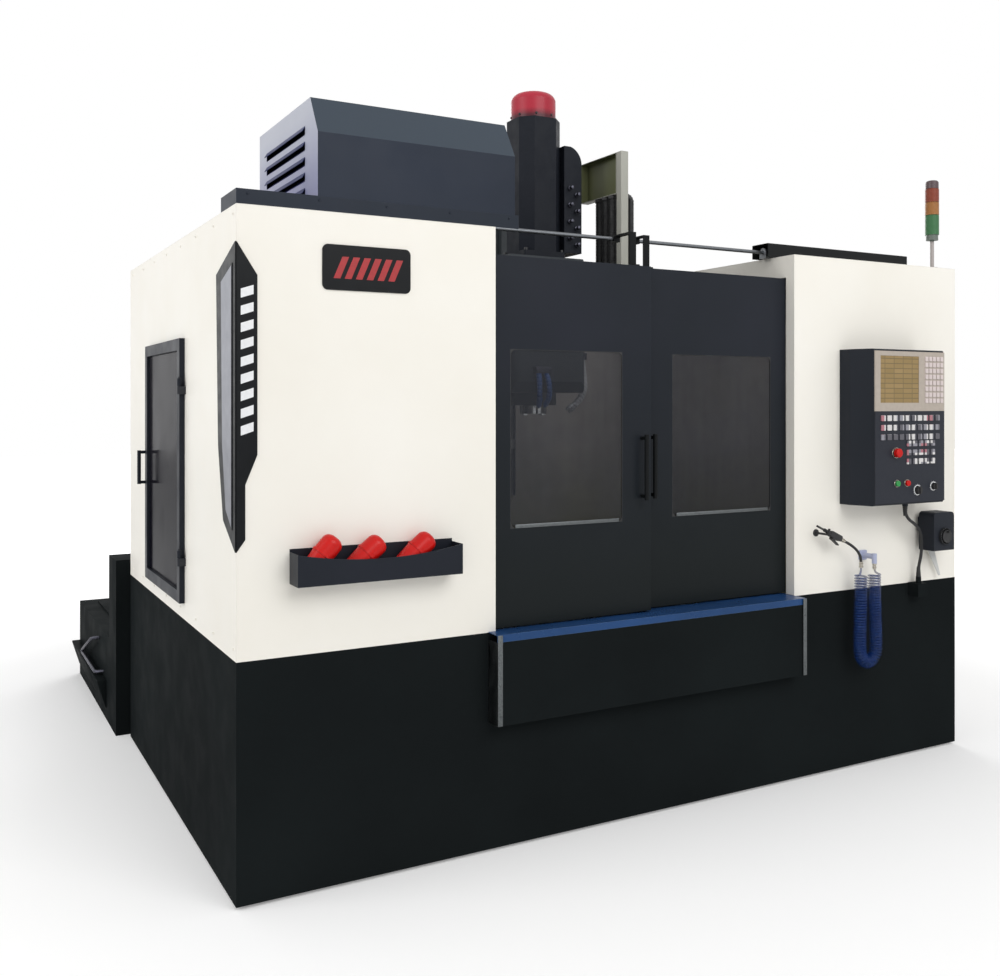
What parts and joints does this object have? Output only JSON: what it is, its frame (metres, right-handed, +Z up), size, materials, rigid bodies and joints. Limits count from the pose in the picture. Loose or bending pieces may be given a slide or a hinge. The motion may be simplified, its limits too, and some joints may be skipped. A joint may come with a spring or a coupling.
{
  "type": "vertical machining centre",
  "caption": "Large enclosed vertical machining centre with sliding doors, side tool door, control box, exposed spindle motor and rear coolant tank.",
  "frame": {"origin": "on the floor, at the middle of the whole machine's footprint", "axes": "+X to the operator's right along the front, +Y from the front to the back, +Z up"},
  "size_m": [3.547, 3.65, 3.131],
  "materials": {
    "white_panel": "smooth satin enamel",
    "black_base": "satin enamel with fine texture",
    "door_slate": "satin enamel",
    "housing_slate": "fine hammered enamel",
    "sill_blue": "gloss enamel, worn along the edge",
    "crimson_cap": "satin enamel",
    "motor_black": "satin enamel on a casting",
    "cast_grey": "enamel on a rough casting",
    "post_grey": "satin enamel",
    "chamber_sheet": "satin enamel, splashed with coolant",
    "control_grey": "fine textured enamel",
    "fascia_beige": "printed membrane",
    "key_plastic": "moulded keys",
    "screen_glass": "lit screen behind glass",
    "window_glass": "clear safety glass",
    "tinted_glass": "tinted safety glass",
    "machined_steel": "ground and oiled",
    "bright_steel": "polished rod and handles",
    "cylinder_alloy": "anodised",
    "red_plastic": "glossy moulding",
    "green_plastic": "glossy moulding",
    "dark_plastic": "fine grain moulding",
    "lamp_lens": "ribbed lens, one colour to each lamp",
    "black_rubber": "smooth hose and cable jacket",
    "blue_hose": "polyurethane tube",
    "cabinet_grey": "textured enamel"
  },
  "bodies": {
    "machine": {"air_gun": "dark_plastic", "air_hose": "black_rubber", "air_hose_coil": "blue_hose", "axis_drives": "machined_steel", "badge_plates": "dark_plastic", "base_panels": "black_base", "bay_wall": "chamber_sheet", "bed_casting": "cast_grey", "cable_conduits": "black_rubber", "cable_post": "post_grey", "chamber_walls": "chamber_sheet", "changer_frame": "cast_grey", "column": "cast_grey", "control_box": "control_grey", "control_cable": "black_rubber", "control_fascia": "fascia_beige", "control_keys": "key_plastic", "control_screen": "screen_glass", "coolant_tank": "black_base", "door_cylinders": "cylinder_alloy", "door_rail": "machined_steel", "door_sill": "sill_blue", "electrical_cabinet": "cabinet_grey", "enclosure_panels": "white_panel", "front_apron": "black_base", "front_panels": "white_panel", "handwheel_box": "control_grey", "left_side_panel": "white_panel", "levelling_feet": "machined_steel", "louvred_housing": "housing_slate", "roof_covers": "housing_slate", "signal_lamps": "lamp_lens", "signal_tower_post": "cylinder_alloy", "tool_cups": "red_plastic", "tool_tray": "door_slate"},
    "left_door": {"left_door": "door_slate", "left_door_window": "window_glass", "left_door_fittings": "bright_steel"},
    "right_door": {"right_door": "door_slate", "right_door_window": "window_glass", "right_door_fittings": "bright_steel"},
    "side_door": {"side_door": "door_slate", "side_door_window": "tinted_glass"},
    "saddle": {"saddle": "cast_grey"},
    "table": {"table": "machined_steel"},
    "spindle_head": {"spindle_head": "cast_grey", "spindle_motor": "motor_black", "motor_cap": "crimson_cap", "head_pack": "motor_black"},
    "spindle": {"spindle": "bright_steel"},
    "tool_drum": {"tool_drum": "machined_steel"},
    "changer_arm": {"changer_arm": "machined_steel"},
    "emergency_stop": {"emergency_stop_button": "red_plastic"},
    "cycle_start": {"cycle_start_button": "green_plastic"},
    "feed_hold": {"feed_hold_button": "red_plastic"},
    "feed_override": {"feed_override_knob": "dark_plastic"},
    "spindle_override": {"spindle_override_knob": "dark_plastic"},
    "handwheel": {"handwheel_dial": "dark_plastic"},
    "trigger": {"air_gun_trigger": "dark_plastic"},
    "cabinet_door": {"cabinet_door": "cabinet_grey"}
  },
  "joints": [
    {"name": "left_door_slide", "type": "slide", "parent": "machine", "child": "left_door", "axis": [1, 0, 0], "range_m": [-0.62, 0]},
    {"name": "right_door_slide", "type": "slide", "parent": "machine", "child": "right_door", "axis": [1, 0, 0], "range_m": [0, 0.62]},
    {"name": "side_door_hinge", "type": "hinge", "parent": "machine", "child": "side_door", "pos_m": [-1.7405, -0.879, 1.3875], "axis": [0, 0, 1], "range_deg": [0, 110]},
    {"name": "saddle_slide", "type": "slide", "parent": "machine", "child": "saddle", "axis": [0, 1, 0], "range_m": [-0.29, 0.29]},
    {"name": "table_slide", "type": "slide", "parent": "saddle", "child": "table", "axis": [1, 0, 0], "range_m": [-0.5, 0.5]},
    {"name": "head_slide", "type": "slide", "parent": "machine", "child": "spindle_head", "axis": [0, 0, 1], "range_m": [-0.56, 0]},
    {"name": "spindle_spin", "type": "hinge", "parent": "spindle_head", "child": "spindle", "pos_m": [-0.038, -0.687, 1.6], "axis": [0, 0, 1], "continuous": true},
    {"name": "drum_spin", "type": "hinge", "parent": "machine", "child": "tool_drum", "pos_m": [-0.96, -0.687, 1.75], "axis": [1, 0, 0], "continuous": true},
    {"name": "arm_swing", "type": "hinge", "parent": "machine", "child": "changer_arm", "pos_m": [-0.414, -0.687, 1.475], "axis": [0, 0, 1], "range_deg": [0, 90]},
    {"name": "emergency_stop_press", "type": "slide", "parent": "machine", "child": "emergency_stop", "axis": [0, 1, 0], "range_m": [0, 0.006], "stiffness_N_per_m": 900},
    {"name": "cycle_start_press", "type": "slide", "parent": "machine", "child": "cycle_start", "axis": [0, 1, 0], "range_m": [0, 0.004], "stiffness_N_per_m": 500},
    {"name": "feed_hold_press", "type": "slide", "parent": "machine", "child": "feed_hold", "axis": [0, 1, 0], "range_m": [0, 0.004], "stiffness_N_per_m": 500},
    {"name": "feed_override_turn", "type": "hinge", "parent": "machine", "child": "feed_override", "pos_m": [1.3085, -1.8, 1.26], "axis": [0, 1, 0], "range_deg": [-135, 135]},
    {"name": "spindle_override_turn", "type": "hinge", "parent": "machine", "child": "spindle_override", "pos_m": [1.4135, -1.8, 1.274], "axis": [0, 1, 0], "range_deg": [-135, 135]},
    {"name": "handwheel_spin", "type": "hinge", "parent": "machine", "child": "handwheel", "pos_m": [1.5575, -1.745, 1.032], "axis": [0, 1, 0], "continuous": true},
    {"name": "trigger_squeeze", "type": "hinge", "parent": "machine", "child": "trigger", "pos_m": [0.88723, -1.695, 1.05555], "axis": [0, -1, 0], "range_deg": [0, 14], "stiffness_Nm_per_rad": 0.5},
    {"name": "cabinet_door_hinge", "type": "hinge", "parent": "machine", "child": "cabinet_door", "pos_m": [1.6925, 0.803, 1.15], "axis": [0, 0, -1], "range_deg": [0, 120]}
  ]
}
